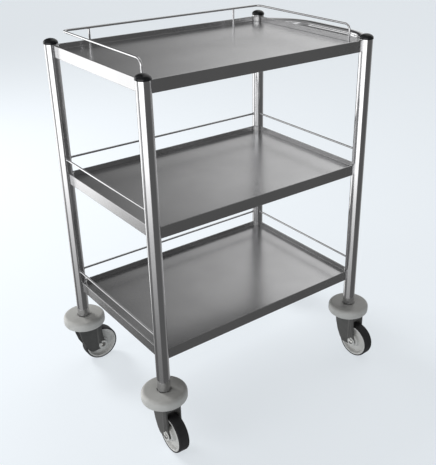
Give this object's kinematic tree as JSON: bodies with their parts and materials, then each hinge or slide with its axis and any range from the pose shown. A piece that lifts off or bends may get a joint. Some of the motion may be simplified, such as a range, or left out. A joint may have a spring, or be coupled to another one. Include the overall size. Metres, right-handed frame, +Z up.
{
  "type": "instrument cart",
  "caption": "Steel instrument cart: three rimmed trays between round posts, gallery rods, side push handle, round bumpers and swivel casters.",
  "frame": {"origin": "centre of the bounding box's base, on the floor under the wheels, with the casters at rest as built", "axes": "+Z up, +X along the long side towards the push handle, -Y towards the open front"},
  "size_m": [0.7254, 0.5239, 0.8773],
  "materials": {
    "polished_steel": "polished stainless steel tube and rod",
    "brushed_sheet": "fine brushed stainless sheet",
    "black_plastic": "glossy black",
    "grey_plastic": "satin light grey",
    "fork_grey": "satin dark grey",
    "hub_grey": "satin light grey",
    "tyre_black": "smooth black rubber",
    "zinc_steel": "zinc plated"
  },
  "bodies": {
    "cart_frame": {"tray_top": "brushed_sheet", "tray_middle": "brushed_sheet", "tray_bottom": "brushed_sheet", "gallery_rod": "polished_steel", "gallery_support_left": "polished_steel", "gallery_support_right": "polished_steel", "guard_rod_middle_left": "polished_steel", "guard_rod_middle_back": "polished_steel", "guard_rod_middle_right": "polished_steel", "guard_rod_bottom_left": "polished_steel", "guard_rod_bottom_back": "polished_steel", "guard_rod_bottom_right": "polished_steel", "push_handle": "polished_steel", "post_front_left": "polished_steel", "post_cap_front_left": "black_plastic", "bumper_disc_front_left": "grey_plastic", "caster_stem_front_left": "zinc_steel", "stem_plug_front_left": "black_plastic", "swivel_bearing_front_left": "zinc_steel", "post_front_right": "polished_steel", "post_cap_front_right": "black_plastic", "bumper_disc_front_right": "grey_plastic", "caster_stem_front_right": "zinc_steel", "stem_plug_front_right": "black_plastic", "swivel_bearing_front_right": "zinc_steel", "post_back_left": "polished_steel", "post_cap_back_left": "black_plastic", "bumper_disc_back_left": "grey_plastic", "caster_stem_back_left": "zinc_steel", "stem_plug_back_left": "black_plastic", "swivel_bearing_back_left": "zinc_steel", "post_back_right": "polished_steel", "post_cap_back_right": "black_plastic", "bumper_disc_back_right": "grey_plastic", "caster_stem_back_right": "zinc_steel", "stem_plug_back_right": "black_plastic", "swivel_bearing_back_right": "zinc_steel"},
    "caster_front_left": {"caster_fork_front_left": "fork_grey", "axle_bolt_front_left": "zinc_steel", "axle_nut_front_left": "zinc_steel"},
    "wheel_front_left": {"wheel_hub_front_left": "hub_grey", "tyre_front_left": "tyre_black"},
    "caster_front_right": {"caster_fork_front_right": "fork_grey", "axle_bolt_front_right": "zinc_steel", "axle_nut_front_right": "zinc_steel"},
    "wheel_front_right": {"wheel_hub_front_right": "hub_grey", "tyre_front_right": "tyre_black"},
    "caster_back_left": {"caster_fork_back_left": "fork_grey", "axle_bolt_back_left": "zinc_steel", "axle_nut_back_left": "zinc_steel"},
    "wheel_back_left": {"wheel_hub_back_left": "hub_grey", "tyre_back_left": "tyre_black"},
    "caster_back_right": {"caster_fork_back_right": "fork_grey", "axle_bolt_back_right": "zinc_steel", "axle_nut_back_right": "zinc_steel"},
    "wheel_back_right": {"wheel_hub_back_right": "hub_grey", "tyre_back_right": "tyre_black"}
  },
  "joints": [
    {"name": "swivel_front_left", "type": "hinge", "parent": "cart_frame", "child": "caster_front_left", "pos_m": [-0.31025, -0.18145, 0.118], "axis": [0, 0, 1], "continuous": true},
    {"name": "roll_front_left", "type": "hinge", "parent": "caster_front_left", "child": "wheel_front_left", "pos_m": [-0.31147, -0.21643, 0.045], "axis": [0.9994, -0.0349, 0], "continuous": true},
    {"name": "swivel_front_right", "type": "hinge", "parent": "cart_frame", "child": "caster_front_right", "pos_m": [0.27275, -0.18145, 0.118], "axis": [0, 0, 1], "continuous": true},
    {"name": "roll_front_right", "type": "hinge", "parent": "caster_front_right", "child": "wheel_front_right", "pos_m": [0.27458, -0.2164, 0.045], "axis": [0.9986, 0.0523, 0], "continuous": true},
    {"name": "swivel_back_left", "type": "hinge", "parent": "cart_frame", "child": "caster_back_left", "pos_m": [-0.31025, 0.20955, 0.118], "axis": [0, 0, 1], "continuous": true},
    {"name": "roll_back_left", "type": "hinge", "parent": "caster_back_left", "child": "wheel_back_left", "pos_m": [-0.27525, 0.20955, 0.045], "axis": [0, 1, 0], "continuous": true},
    {"name": "swivel_back_right", "type": "hinge", "parent": "cart_frame", "child": "caster_back_right", "pos_m": [0.27275, 0.20955, 0.118], "axis": [0, 0, 1], "continuous": true},
    {"name": "roll_back_right", "type": "hinge", "parent": "caster_back_right", "child": "wheel_back_right", "pos_m": [0.27883, 0.17508, 0.045], "axis": [0.9848, 0.1736, 0], "continuous": true}
  ]
}
